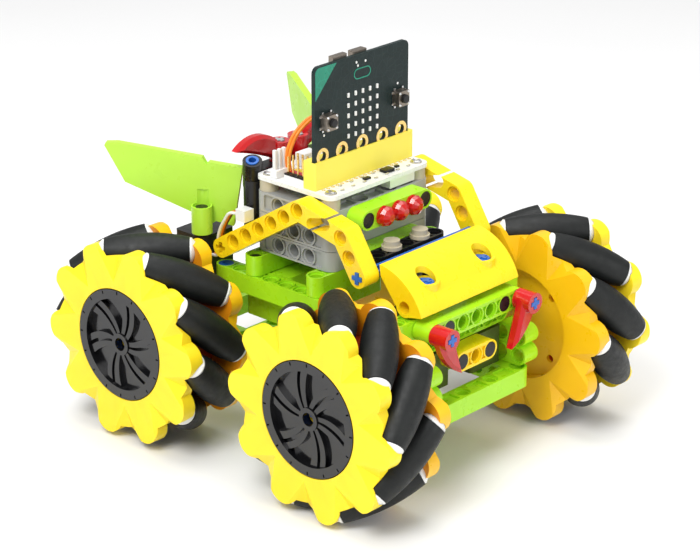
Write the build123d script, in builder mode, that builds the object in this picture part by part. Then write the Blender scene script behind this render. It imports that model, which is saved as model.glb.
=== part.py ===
"""Four-wheel mecanum robot built from 8 mm grid beams, with a microcontroller board on a stack of frames.

Frame: millimetres, origin on the floor midway between the four wheels, -Y forward, +Z up.
Left and right are as seen from in front of the robot, where +X is to the right.
"""

import os
from math import atan2, cos, degrees, pi, radians, sin, sqrt, tan

from build123d import *

os.makedirs("parts", exist_ok=True)

# Building grid
M = 8.0  # hole pitch
T = 7.8  # thickness and width of every beam
PIN_R = 2.45  # pin hole
BORE_R = 3.1  # counterbore at both ends of a pin hole
RING_R = 3.65  # wall round a counterbore
LIP = 0.9  # depth of counterbores and pockets
SHAFT_R = 2.3  # cross axles
CROSS_W = 1.6  # one arm of a cross axle
CROSS_HOLE_W = 1.9
PIN_FIT_R = PIN_R - 0.06  # round pins

# Wheels
AXLE_Z = 41.0  # also the wheel's radius over its rollers
AXLE_Y = 49.6
WHEEL_X = 59.8  # middle plane of a wheel
ROLLERS = 10
ROLLER_R = 7.1  # at the middle of a barrel
ROLLER_HALF = 16.2  # half the rubber's length
ROLLER_BORE = 1.6
CAP_LENGTH = 2.0
CAP_R = 4.9
CAP_LIP_R = 3.4
PIN_TAIL = 0.6  # roller pin past its collar
AXIS_R = AXLE_Z - ROLLER_R  # roller axis from the wheel's axis
LOBE_R = 6.9
LOBE_TIP_R = 40.0
VALLEY_R = 35.2
PLATE_T = 6.0
PLATE_OUT = 16.2  # outer face of a wheel plate from the middle plane
DRUM_R = 24.6
RIM_R = 22.2
RECESS_R = 22.6
RIM_T = 4.0

# Chassis levels, all on the grid
DECK_Z = 74.0  # underside of the frame stack
STACK_Y = 3.0
FRAME_L = 56.0
FRAME_W = 40.0
NOSE_Y = -65.0  # front face of the nose beams
RAIL_FRONT_Y = -69.0
SIDE_X = 32.0
ARM_X = 32.0  # middle plane of the double-bent arms

# Boards
PCB_T = 1.6
STANDOFF = 4.5
PCB_Z = DECK_Z + 3 * M + STANDOFF
SOCKET_L = 55.0
SOCKET_D = 6.4
SOCKET_TOP = 114.9
CARD_W = 52.0
CARD_H = 42.0
CARD_TOP = 151.6
CARD_FRONT_Y = -6.9
BUTTON_X = 20.0
BUTTON_Z = 130.0
CASE = 6.0
CASE_T = 3.4
PLUNGER_R = 1.7
PLUNGER_OUT = 1.3


def pocket():
    """Hollow between two neighbouring holes on a beam's face."""
    with BuildSketch() as hollow:
        Rectangle(M - 1.0, T - 2.6)
        with Locations((-M / 2, 0), (M / 2, 0)):
            Circle(RING_R, mode=Mode.SUBTRACT)
    return hollow.sketch


POCKET = pocket()


def facing_front(x, y, z):
    """Upright plane at a point, with its X to the right and its normal forward."""
    return Plane((x, y, z), x_dir=(1, 0, 0), z_dir=(0, -1, 0))


def cross_hole():
    """Outline of an axle hole."""
    with BuildSketch() as cross:
        Rectangle(2 * PIN_R, CROSS_HOLE_W)
        Rectangle(CROSS_HOLE_W, 2 * PIN_R)
    return cross.sketch


CROSS = cross_hole()


def beam(count, pockets=True):
    """Straight beam along X with its holes along Z, centred on the origin."""
    places = GridLocations(M, 1, count, 1)
    gaps = GridLocations(M, 1, count - 1, 1)
    with BuildPart() as bar:
        with BuildSketch(Plane.XY.offset(-T / 2 + LIP)):
            SlotCenterToCenter((count - 1) * M, T)
            with places:
                Circle(PIN_R, mode=Mode.SUBTRACT)
        extrude(amount=T - 2 * LIP)
        for low in (-T / 2, T / 2 - LIP):
            with BuildSketch(Plane.XY.offset(low)):
                SlotCenterToCenter((count - 1) * M, T)
                with places:
                    Circle(BORE_R, mode=Mode.SUBTRACT)
                if pockets:
                    with gaps:
                        add(POCKET, mode=Mode.SUBTRACT)
            extrude(amount=LIP)
    return bar.part


FRAME_POCKET_X = 2 * M  # middle of the recess between two of a frame's vertical holes


def open_frame():
    """5 by 7 open frame with vertical holes, and three holes through each short side."""
    corners = GridLocations(FRAME_L - M, FRAME_W - M, 2, 2)
    middles = GridLocations(2 * M, FRAME_W - M, 2, 2)
    with BuildPart() as frame:
        with BuildSketch(Plane.XY.offset(-T / 2)):
            RectangleRounded(FRAME_L, FRAME_W, M / 2)
            Rectangle(FRAME_L - 2 * M, FRAME_W - 2 * M, mode=Mode.SUBTRACT)
            with corners:
                Circle(PIN_R, mode=Mode.SUBTRACT)
            with middles:
                Circle(PIN_R, mode=Mode.SUBTRACT)
        extrude(amount=T)
        for face_z in (-T / 2, T / 2 - LIP):
            with BuildSketch(Plane.XY.offset(face_z)):
                with corners:
                    Circle(BORE_R)
                with middles:
                    Circle(BORE_R)
            extrude(amount=LIP, mode=Mode.SUBTRACT)
            with BuildSketch(Plane.XY.offset(face_z)):
                with GridLocations(1, FRAME_W - M, 1, 2):
                    Rectangle(M - 0.9, M - 2.6)
                with GridLocations(2 * FRAME_POCKET_X, FRAME_W - M, 2, 2):
                    Rectangle(M - 0.9, M - 2.6)
            extrude(amount=LIP, mode=Mode.SUBTRACT)
        for side in (1, -1):
            with BuildSketch(Plane.YZ.offset(side * FRAME_L / 2)):
                RectangleRounded(FRAME_W - 10, T - 1.6, 1.0)
                with GridLocations(M, 1, 3, 1):
                    Circle(RING_R, mode=Mode.SUBTRACT)
            extrude(amount=-side * LIP, mode=Mode.SUBTRACT)
            with BuildSketch(Plane.YZ.offset(side * FRAME_L / 2)):
                with GridLocations(M, 1, 3, 1):
                    Circle(BORE_R)
            extrude(amount=-side * LIP, mode=Mode.SUBTRACT)
            with BuildSketch(Plane.YZ.offset(side * FRAME_L / 2)):
                with GridLocations(M, 1, 3, 1):
                    Circle(PIN_R)
            extrude(amount=-side * M, mode=Mode.SUBTRACT)
    return frame.part


def wheel_plane():
    """Wheel's own frame: +Z outwards along the axle, +X to the back."""
    return Plane(origin=(WHEEL_X, -AXLE_Y, AXLE_Z), x_dir=(0, 1, 0), z_dir=(1, 0, 0))


def roller_planes():
    """One frame per roller, its Z along the roller's axis; the first is the one on the floor."""
    planes = []
    for turn in range(ROLLERS):
        angle = radians(-90 + turn * 360 / ROLLERS)
        out = Vector(cos(angle), sin(angle), 0)
        along = Vector(-sin(angle), cos(angle), 1).normalized()
        planes.append(Plane(origin=out * AXIS_R, x_dir=out, z_dir=along))
    return planes


ROLLER_PLANES = roller_planes()
# A roller's end stands this far round and out from the roller's middle
END_TURN = 22.1
LOBE_CENTRE_R = LOBE_TIP_R - LOBE_R


def barrel():
    """Rubber barrel whose outline keeps the wheel round."""
    end_r = AXLE_Z - sqrt(AXIS_R**2 + ROLLER_HALF**2 / 2)
    with BuildPart() as rubber:
        with BuildSketch(Plane.XZ):
            with BuildLine():
                Polyline(
                    (end_r, -ROLLER_HALF),
                    (ROLLER_BORE, -ROLLER_HALF),
                    (ROLLER_BORE, ROLLER_HALF),
                    (end_r, ROLLER_HALF),
                )
                ThreePointArc((end_r, ROLLER_HALF), (ROLLER_R, 0), (end_r, -ROLLER_HALF))
            make_face()
        revolve(axis=Axis.Z)
    return rubber.part


def roller_axle():
    """Pin through a roller with a white collar at each end."""
    gap = 0.15
    pin_half = ROLLER_HALF + gap + CAP_LENGTH + PIN_TAIL
    collar_in = ROLLER_HALF + gap
    collar_out = collar_in + CAP_LENGTH
    with BuildPart() as pin:
        with BuildSketch(Plane.XZ):
            with BuildLine():
                Polyline(
                    (0, 0),
                    (ROLLER_BORE - 0.06, 0),
                    (ROLLER_BORE - 0.06, collar_in),
                    (CAP_R, collar_in),
                    (CAP_R, collar_in + 0.6),
                    (CAP_LIP_R, collar_out),
                    (ROLLER_BORE - 0.06, collar_out),
                    (ROLLER_BORE - 0.06, pin_half),
                    (0, pin_half),
                    close=True,
                )
            make_face()
        revolve(axis=Axis.Z)
        mirror(about=Plane.XY)
    return pin.part


def roller_room():
    """Space a roller and its collars need in the wheel plates."""
    collar_in = ROLLER_HALF + 0.15
    collar_out = collar_in + CAP_LENGTH
    pin_end = collar_out + PIN_TAIL + 0.1
    with BuildPart() as room:
        with BuildSketch(Plane.XZ):
            with BuildLine():
                Polyline(
                    (0, 0),
                    (ROLLER_R + 0.9, 0),
                    (6.2, ROLLER_HALF - 1.5),
                    (5.3, ROLLER_HALF),
                    (CAP_R + 0.15, collar_in + 0.7),
                    (CAP_LIP_R + 0.15, collar_out + 0.1),
                    (ROLLER_BORE, collar_out + 0.1),
                    (ROLLER_BORE, pin_end),
                    (0, pin_end),
                    close=True,
                )
            make_face()
        revolve(axis=Axis.Z)
        mirror(about=Plane.XY)
    return room.part


ROOM = roller_room()


GROOVE_HALF = 10.5
GROOVE_DEPTH = 4.9


def facet_cut(face_z):
    """V-shaped groove between two lobes, deepest at the rim."""
    with BuildSketch(Plane.YZ.offset(LOBE_TIP_R + 2)) as mouth:
        with BuildLine():
            Polyline(
                (-GROOVE_HALF, face_z + 0.1),
                (GROOVE_HALF, face_z + 0.1),
                (0, face_z - GROOVE_DEPTH),
                close=True,
            )
        make_face()
    with BuildPart() as groove:
        loft(sections=[mouth.sketch.face(), Vertex(RECESS_R + 2.4, 0, face_z + 0.1)])
    return groove.part


def star(turn):
    """Ten-lobed outline of a wheel plate; turn is where its first lobe points."""
    with BuildSketch() as outline:
        Circle(VALLEY_R)
        with PolarLocations(LOBE_CENTRE_R, ROLLERS, start_angle=turn):
            Circle(LOBE_R)
        with PolarLocations(VALLEY_R - 4, ROLLERS, start_angle=turn):
            Rectangle(2 * (LOBE_CENTRE_R - VALLEY_R + 4), 2 * LOBE_R)
    return outline.sketch


def wheel_plate(face_sign, bore_r, recess_depth):
    """Plate that carries one end of each roller, facing outwards (1) or to the chassis (-1)."""
    turn = -90 + face_sign * END_TURN
    inner_z = face_sign * (PLATE_OUT - PLATE_T)
    outline = star(turn)
    cut = facet_cut(PLATE_OUT)
    if face_sign < 0:
        cut = mirror(cut, about=Plane.XY)
    with BuildPart() as plate:
        with BuildSketch(Plane.XY.offset(inner_z)):
            add(outline)
        extrude(amount=face_sign * PLATE_T)
        with PolarLocations(0, ROLLERS, start_angle=turn + 180 / ROLLERS):
            add(cut, mode=Mode.SUBTRACT)
        with Locations(*ROLLER_PLANES):
            add(ROOM, mode=Mode.SUBTRACT)
        with BuildSketch(Plane.XY.offset(face_sign * PLATE_OUT)):
            Circle(RECESS_R)
        extrude(amount=-face_sign * recess_depth, mode=Mode.SUBTRACT)
        with BuildSketch(Plane.XY.offset(face_sign * PLATE_OUT)):
            Circle(bore_r)
        extrude(amount=-face_sign * PLATE_T, mode=Mode.SUBTRACT)
    return plate.part


def wheel_hub():
    """Inner plate moulded with the drum between the two plates."""
    plate = wheel_plate(-1, PIN_R, PLATE_T - 1.5)
    drum_half = PLATE_OUT - PLATE_T
    with BuildPart() as hub:
        add(plate)
        with BuildSketch(Plane.XY.offset(-drum_half)):
            Circle(DRUM_R)
        extrude(amount=2 * drum_half)
        with BuildSketch(Plane.XY.offset(-drum_half)):
            Circle(PIN_R)
        extrude(amount=2 * drum_half, mode=Mode.SUBTRACT)
        with BuildSketch(Plane.XY.offset(-PLATE_OUT + PLATE_T - 1.5)):
            with PolarLocations(RECESS_R - 4.5, 4, start_angle=45):
                Circle(1.6)
        extrude(amount=6, mode=Mode.SUBTRACT)
    return hub.part


RIM_RING_IN = 18.4
BOSS_RIM_R = 4.4
AXLE_EYE_R = 2.6
SPOKES = 6


def rim_spoke():
    """One swirled blade with a slit along it."""
    with BuildSketch() as spoke:
        with BuildLine():
            ThreePointArc((3.2, -1.9), (10.8, -2.2), (RIM_RING_IN + 0.4, 2.0))
            Line((RIM_RING_IN + 0.4, 2.0), (RIM_RING_IN - 0.2, 4.6))
            ThreePointArc((RIM_RING_IN - 0.2, 4.6), (10.6, 0.2), (3.4, -0.5))
            Line((3.4, -0.5), (3.2, -1.9))
        make_face()
        with BuildLine():
            ThreePointArc((3.4, 0.2), (10.3, 1.5), (RIM_RING_IN - 0.5, 6.2))
            Line((RIM_RING_IN - 0.5, 6.2), (RIM_RING_IN - 1.9, 9.2))
            ThreePointArc((RIM_RING_IN - 1.9, 9.2), (9.6, 3.8), (3.0, 1.6))
            Line((3.0, 1.6), (3.4, 0.2))
        make_face()
    return spoke.sketch


def wheel_rim():
    """Black cover with a notched ring, swirled spokes and a centre boss."""
    back = PLATE_OUT - RIM_T
    web_t = 1.4
    notches = 16
    spoke = rim_spoke()
    with BuildPart() as rim:
        with BuildSketch(Plane.XY.offset(back)):
            Circle(RIM_R)
        extrude(amount=web_t)
        with BuildSketch(Plane.XY.offset(back)):
            Circle(RIM_R)
            Circle(RIM_RING_IN, mode=Mode.SUBTRACT)
        extrude(amount=RIM_T + 0.1)
        with BuildSketch(Plane.XY.offset(back)):
            Circle(BOSS_RIM_R)
        extrude(amount=RIM_T - 0.4)
        with BuildSketch(Plane.XY.offset(back + web_t - 0.1)):
            with PolarLocations(0, SPOKES):
                add(spoke)
        extrude(amount=RIM_T - web_t - 0.8)
        with BuildSketch(Plane.XY.offset(PLATE_OUT + 0.1)):
            with PolarLocations(RIM_R - 1.0, notches):
                Rectangle(1.3, 0.6)
        extrude(amount=-0.6, mode=Mode.SUBTRACT)
        with BuildSketch(Plane.XY.offset(back)):
            Circle(AXLE_EYE_R)
        extrude(amount=RIM_T, mode=Mode.SUBTRACT)
    return rim.part


def wheel_axle(start_x):
    """Cross axle from the gear motor into the wheel, in the wheel's own frame."""
    start = start_x - WHEEL_X
    with BuildPart() as axle:
        with BuildSketch(Plane.XY.offset(start)):
            Rectangle(2 * SHAFT_R, CROSS_W)
            Rectangle(CROSS_W, 2 * SHAFT_R)
        extrude(amount=PLATE_OUT - RIM_T - start)
    return axle.part


FRONT_MOTOR_FACE = 23.8
REAR_MOTOR_FACE = 38.0
SOCKET_DEPTH = 6.0
BARREL = barrel()
ROLLER_AXLE = roller_axle()

with BuildPart() as rollers_master:
    with Locations(*ROLLER_PLANES[1:]):
        add(BARREL)
with BuildPart() as floor_roller_master:
    with Locations(ROLLER_PLANES[0]):
        add(BARREL)
with BuildPart() as roller_axles_master:
    with Locations(*ROLLER_PLANES):
        add(ROLLER_AXLE)

WHEEL_MASTERS = {
    "plate": wheel_plate(1, PIN_R, RIM_T + 0.2),
    "hub": wheel_hub(),
    "rim": wheel_rim(),
    "rollers": rollers_master.part,
    "roller_axles": roller_axles_master.part,
    "floor_roller": floor_roller_master.part,
}
CORNERS = {
    "front_right": (1, 1, FRONT_MOTOR_FACE),
    "front_left": (-1, 1, FRONT_MOTOR_FACE),
    "rear_right": (1, -1, REAR_MOTOR_FACE),
    "rear_left": (-1, -1, REAR_MOTOR_FACE),
}


def to_corner(master, side, end):
    """Mirror a front right wheel piece to another corner."""
    placed = master.moved(wheel_plane().location)
    if side < 0:
        placed = mirror(placed, about=Plane.YZ)
    if end < 0:
        placed = mirror(placed, about=Plane.XZ)
    return placed


for corner, (side, end, motor_face) in CORNERS.items():
    pieces = dict(WHEEL_MASTERS, axle=wheel_axle(motor_face - SOCKET_DEPTH + 0.5))
    for piece, master in pieces.items():
        solids = to_corner(master, side, end)
        with BuildPart() as wheel_piece:
            add(solids)
        label = f"wheel_{corner}_{piece}"
        wheel_piece.part.label = label
        export_step(wheel_piece.part, f"parts/{label}.step")


def along_y(part):
    """Turn a beam that lies along X to lie along Y, holes still along Z."""
    return part.moved(Location((0, 0, 0), (0, 0, 90)))


def face_front(part):
    """Turn a beam that lies along X so that its holes run front to back."""
    return part.moved(Location((0, 0, 0), (90, 0, 0)))


FRAME = open_frame()
BEAM_3 = beam(3)
BEAM_5 = beam(5)
BEAM_7 = beam(7)
BEAM_9 = beam(9)

# Stack of three open frames under the board
with BuildPart() as stack_frames:
    with Locations(*[(0, STACK_Y, DECK_Z + M * (level + 0.5)) for level in range(3)]):
        add(FRAME)
stack_frames.part.label = "stack_frames"
export_step(stack_frames.part, "parts/stack_frames.step")

# Floor frames that carry the motors, front and rear
FLOOR_FRAME_Z = DECK_Z - 5.5 * M
FLOOR_FRAME_Y = RAIL_FRONT_Y + FRAME_W / 2
with BuildPart() as floor_frames:
    with Locations((0, FLOOR_FRAME_Y, FLOOR_FRAME_Z), (0, -FLOOR_FRAME_Y, FLOOR_FRAME_Z)):
        add(FRAME)
floor_frames.part.label = "floor_frames"
export_step(floor_frames.part, "parts/floor_frames.step")

# Cross beams: two under the stack, one under the hood
UNDER_HOOD_Y = -53.0
CROSS_Y = (STACK_Y - 2 * M, STACK_Y + 2 * M)
with BuildPart() as cross_beams:
    with Locations(*[(0, y, DECK_Z - M / 2) for y in CROSS_Y]):
        add(BEAM_9)
    with Locations((0, UNDER_HOOD_Y, DECK_Z - 1.5 * M)):
        add(BEAM_9)
cross_beams.part.label = "cross_beams"
export_step(cross_beams.part, "parts/cross_beams.step")

# Side beams below the cross beams
SIDE_BEAM = along_y(BEAM_9)
with BuildPart() as side_beams:
    with Locations((SIDE_X, STACK_Y, DECK_Z - 1.5 * M), (-SIDE_X, STACK_Y, DECK_Z - 1.5 * M)):
        add(SIDE_BEAM)
side_beams.part.label = "side_beams"
export_step(side_beams.part, "parts/side_beams.step")

# Green nose beams, holes facing forward: one with seven holes, one behind and below
NOSE_BEAM = face_front(BEAM_7)
with BuildPart() as nose_beams:
    with Locations((0, NOSE_Y + M / 2, DECK_Z - 1.5 * M), (0, NOSE_Y + 1.5 * M, DECK_Z - 2.5 * M)):
        add(NOSE_BEAM)
nose_beams.part.label = "nose_beams"
export_step(nose_beams.part, "parts/nose_beams.step")

# Short rails at the two lower corners of the nose
RAIL = beam(2, pockets=False).moved(Location((0, 0, 0), (0, 0, 90))).moved(Location((0, 0, 0), (0, 90, 0)))
RAIL_X = 28.0
RAIL_Y = RAIL_FRONT_Y + M
with BuildPart() as corner_rails:
    with Locations(*[(s * RAIL_X, RAIL_Y, DECK_Z - k * M) for s in (1, -1) for k in (3.5, 4.5)]):
        add(RAIL)
corner_rails.part.label = "corner_rails"
export_step(corner_rails.part, "parts/corner_rails.step")

# Yellow three-hole beam between the fangs
TEETH_BEAM = face_front(BEAM_3)
with BuildPart() as teeth_beam:
    with Locations((0, NOSE_Y + M / 2, DECK_Z - 3.5 * M)):
        add(TEETH_BEAM)
teeth_beam.part.label = "teeth_beam"
export_step(teeth_beam.part, "parts/teeth_beam.step")

# Two beams on the front of the stack; the upper one carries the lamps
LAMP_BEAM_Y = STACK_Y - FRAME_W / 2 - M / 2
LAMP_Z = DECK_Z + 2.5 * M
LAMP_BEAM = face_front(beam(5, pockets=False))
with BuildPart() as stack_front_beams:
    with Locations((0, LAMP_BEAM_Y, LAMP_Z), (0, LAMP_BEAM_Y, DECK_Z + M / 2)):
        add(LAMP_BEAM)
stack_front_beams.part.label = "stack_front_beams"
export_step(stack_front_beams.part, "parts/stack_front_beams.step")

# Three round lamps plugged into the lamp beam
LAMP_R = 4.0
LAMP_OUT = 4.6
LAMP_SIDE = 1.7
LAMP_FACE_Y = LAMP_BEAM_Y - T / 2 - 0.05
with BuildPart() as lamp_master:
    with BuildSketch(Plane.XZ.offset(-LAMP_FACE_Y)):
        RegularPolygon(LAMP_R, 12)
    extrude(amount=LAMP_SIDE)
    with BuildSketch(Plane.XZ.offset(-LAMP_FACE_Y + LAMP_SIDE)):
        RegularPolygon(LAMP_R, 12)
    extrude(amount=1.5, taper=24)
    with BuildSketch(Plane.XZ.offset(-LAMP_FACE_Y + LAMP_SIDE + 1.5)):
        RegularPolygon(LAMP_R - 0.68, 12)
    extrude(amount=LAMP_OUT - LAMP_SIDE - 1.5, taper=52)
    with BuildSketch(Plane.XZ.offset(-LAMP_FACE_Y)):
        Circle(PIN_R - 0.1)
    extrude(amount=-6)
LAMP_PITCH = 8.05
with BuildPart() as front_lamps:
    with Locations((-LAMP_PITCH, 0, LAMP_Z), (0, 0, LAMP_Z), (LAMP_PITCH, 0, LAMP_Z)):
        add(lamp_master.part)
front_lamps.part.label = "front_lamps"
export_step(front_lamps.part, "parts/front_lamps.step")


def stepped(*steps):
    """Round piece about Z from (bottom, radius) pairs and a last top height."""
    levels = list(steps)
    top = levels.pop()
    with BuildPart() as piece:
        with BuildSketch(Plane.XZ):
            with BuildLine():
                points = [(0, levels[0][0])]
                ends = [low for low, _ in levels[1:]] + [top]
                for (low, radius), high in zip(levels, ends):
                    points.append((radius, low))
                    points.append((radius, high))
                points.append((0, top))
                Polyline(*points, close=True)
            make_face()
        revolve(axis=Axis.Z)
    return piece.part


# Grey bushes: two on the black beam before the stack, four under the board
BLACK_BEAM_Y = -29.2
BLACK_BEAM_Z = DECK_Z + M / 2
BUSH_FLANGE_R = 3.9
BUSH_NECK_R = 3.1
BUSH = stepped((-2.9, PIN_R - 0.1), (0.05, BUSH_FLANGE_R), (1.4, BUSH_NECK_R), 3.5)

# Expansion board on four stand-offs
HOLE_X = FRAME_L / 2 - M / 2
HOLE_Y = FRAME_W / 2 - M / 2
STAND_BOTTOM = DECK_Z + 3 * M
with BuildPart() as expansion_board:
    with BuildSketch(Plane((0, STACK_Y, PCB_Z))):
        RectangleRounded(FRAME_L, FRAME_W, 3.4)
        with GridLocations(2 * HOLE_X, 2 * HOLE_Y, 2, 2):
            Circle(2.4, mode=Mode.SUBTRACT)
    extrude(amount=PCB_T)
expansion_board.part.label = "expansion_board"
export_step(expansion_board.part, "parts/expansion_board.step")

STAND = stepped((-4.5, PIN_R - 0.1), (-0.05, 3.6), (STANDOFF - 0.05, 2.3), STANDOFF + PCB_T + 0.3)
with BuildPart() as bushes:
    with Locations((-M, BLACK_BEAM_Y, BLACK_BEAM_Z + T / 2), (M, BLACK_BEAM_Y, BLACK_BEAM_Z + T / 2)):
        add(BUSH)
    with Locations(*[(x, STACK_Y + y, STAND_BOTTOM) for x in (-HOLE_X, HOLE_X) for y in (-HOLE_Y, HOLE_Y)]):
        add(STAND)
bushes.part.label = "bushes"
export_step(bushes.part, "parts/bushes.step")

# Edge connector with the slot for the controller board
BOARD_TOP_Z = PCB_Z + PCB_T
CARD_Y = CARD_FRONT_Y + PCB_T / 2
SOCKET_Y = CARD_FRONT_Y + 2.4
CARD_BOTTOM = CARD_TOP - CARD_H
with BuildPart() as edge_connector:
    with BuildSketch(Plane((0.8, SOCKET_Y, BOARD_TOP_Z + 0.05))):
        RectangleRounded(SOCKET_L, SOCKET_D, 0.6)
    extrude(amount=SOCKET_TOP - BOARD_TOP_Z)
    with BuildSketch(Plane((0, CARD_Y, CARD_BOTTOM - 0.3))):
        Rectangle(CARD_W + 0.8, PCB_T + 0.1)
    extrude(amount=CARD_H, mode=Mode.SUBTRACT)
edge_connector.part.label = "edge_connector"
export_step(edge_connector.part, "parts/edge_connector.step")

# Controller board with five ring contacts at its lower edge
with BuildPart() as controller_board:
    with BuildSketch(facing_front(0, CARD_FRONT_Y + PCB_T, CARD_TOP - CARD_H / 2)):
        RectangleRounded(CARD_W, CARD_H, 2.6)
        with Locations(*[(x, 116.6 - CARD_TOP + CARD_H / 2) for x in (-21.9, -11.3, 0, 11.3, 21.9)]):
            Circle(1.9, mode=Mode.SUBTRACT)
    extrude(amount=PCB_T)
controller_board.part.label = "controller_board"
export_step(controller_board.part, "parts/controller_board.step")

# Metal fittings: two button cases in front, a micro USB socket and a battery socket behind
CARD_BACK_Y = CARD_FRONT_Y + PCB_T
CASE_PLANE_Y = CARD_FRONT_Y - 0.02
with BuildPart() as card_fittings:
    with BuildSketch(facing_front(0, CASE_PLANE_Y, BUTTON_Z)):
        with Locations((-BUTTON_X, 0), (BUTTON_X, 0)):
            RectangleRounded(CASE, CASE, 0.5)
            Circle(PLUNGER_R + 0.08, mode=Mode.SUBTRACT)
    extrude(amount=CASE_T)
    with BuildSketch(facing_front(0.4, CARD_BACK_Y + 0.02, CARD_TOP - 1.7)):
        RectangleRounded(7.4, 5.6, 0.4)
    extrude(amount=-2.7)
    with BuildSketch(facing_front(-10.6, CARD_BACK_Y + 0.02, CARD_TOP - 0.6)):
        Rectangle(7.6, 4.0)
    extrude(amount=-2.2)
card_fittings.part.label = "card_fittings"
export_step(card_fittings.part, "parts/card_fittings.step")

# Plungers that travel into the cases
PRESS_GAP = 0.6
for name, x in (("button_a", -BUTTON_X), ("button_b", BUTTON_X)):
    with BuildPart() as plunger:
        with BuildSketch(facing_front(x, CASE_PLANE_Y - PRESS_GAP, BUTTON_Z)):
            Circle(PLUNGER_R)
        extrude(amount=CASE_T - PRESS_GAP + PLUNGER_OUT)
        chamfer(plunger.faces().sort_by(Axis.Y)[0].edges(), 0.2)
    plunger.part.label = name
    export_step(plunger.part, f"parts/{name}.step")

# Three rows of header pins beside the connector, and the plug seat under the board
HEADER_Y = 4.2
PLUG_AT = (30.9, 25.6, 85.6)
PLUG_W = 4.8
PLUG_H = 4.6
with BuildPart() as header_blocks:
    with BuildSketch(Plane((-22.2, HEADER_Y, BOARD_TOP_Z + 0.05))):
        Rectangle(7.6, 10.2)
    extrude(amount=2.5)
    with BuildSketch(Plane((13.0, -13.2, PCB_Z - 0.05))):
        Rectangle(14.0, 5.2)
    extrude(amount=-3.9)
    for s in (1, -1):
        with BuildSketch(Plane((s * PLUG_AT[0], PLUG_AT[1], PLUG_AT[2]))):
            Rectangle(5.0, PLUG_W)
        extrude(amount=PLUG_H)
header_blocks.part.label = "header_blocks"
export_step(header_blocks.part, "parts/header_blocks.step")


# Double-bent arms on both sides
ARM_TILT = 32.0
ARM_REAR = (34.1, 73.3)
ARM_BEND = 45.0
ARM_MIDDLE = 2 * M * sqrt(2)


def arm_line():
    """Centre points of the arm: rear end, rear bend, front bend, front end, as (y, z)."""
    rear = Vector(*ARM_REAR)
    first = rear + Vector(-cos(radians(ARM_TILT)), sin(radians(ARM_TILT))) * 6 * M
    lean = radians(ARM_TILT - ARM_BEND)
    second = first + Vector(-cos(lean), sin(lean)) * ARM_MIDDLE
    drop = radians(ARM_TILT - 2 * ARM_BEND)
    front = second + Vector(-cos(drop), sin(drop)) * 2 * M
    return rear, first, second, front


def between(start, end, share):
    return start + (end - start) * share


def bent_arm():
    """Flat arm in the YZ plane with its holes along X, centred on x = 0."""
    rear, first, second, front = arm_line()
    pins = [between(rear, first, k / 6) for k in range(1, 7)] + [second, between(second, front, 0.5)]
    slot_mid = between(first, second, 0.5)
    spans = ((rear, first), (first, second), (second, front))
    with BuildPart() as arm:
        with BuildSketch(Plane.YZ.offset(-T / 2)):
            for start, end in spans:
                middle = between(start, end, 0.5)
                run = end - start
                with Locations(Location((middle.X, middle.Y), degrees(atan2(run.Y, run.X)))):
                    SlotCenterToCenter(run.length, T)
            with Locations(*pins):
                Circle(PIN_R, mode=Mode.SUBTRACT)
            with Locations(rear, front):
                add(CROSS, mode=Mode.SUBTRACT)
            with Locations(Location((slot_mid.X, slot_mid.Y), ARM_TILT - ARM_BEND + 180)):
                SlotCenterToCenter(7.0, 2 * PIN_R, mode=Mode.SUBTRACT)
        extrude(amount=T)
        for face_x in (-T / 2, T / 2 - LIP):
            with BuildSketch(Plane.YZ.offset(face_x)):
                with Locations(*pins):
                    Circle(BORE_R)
            extrude(amount=LIP, mode=Mode.SUBTRACT)
    return arm.part


ARM = bent_arm()
with BuildPart() as bent_arms:
    with Locations((ARM_X, 0, 0), (-ARM_X, 0, 0)):
        add(ARM)
bent_arms.part.label = "bent_arms"
export_step(bent_arms.part, "parts/bent_arms.step")

# Blue cross axle through the front ends of both arms
ARM_AXLE_HALF = 36.4
ARM_FRONT = arm_line()[3]
with BuildPart() as arm_axle:
    with BuildSketch(Plane((-ARM_AXLE_HALF, ARM_FRONT.X, ARM_FRONT.Y), x_dir=(0, 1, 0), z_dir=(1, 0, 0))):
        Rectangle(2 * SHAFT_R, CROSS_W)
        Rectangle(CROSS_W, 2 * SHAFT_R)
    extrude(amount=2 * ARM_AXLE_HALF)
arm_axle.part.label = "arm_axle"
export_step(arm_axle.part, "parts/arm_axle.step")

# Curved hood with end tubes and two pin wells
HOOD_TOP = (-41.0, 84.4)
HOOD_CREST = (-53.0, 80.0)
HOOD_LIP = (-61.6, 68.6)
HOOD_T = 2.2
HOOD_HALF = 28.0
HOOD_PIN_Y = -53.0
HOOD_PIN_Z = 73.2
TUBE_AT = (-53.2, 70.6)
TUBE_R = 3.9


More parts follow.
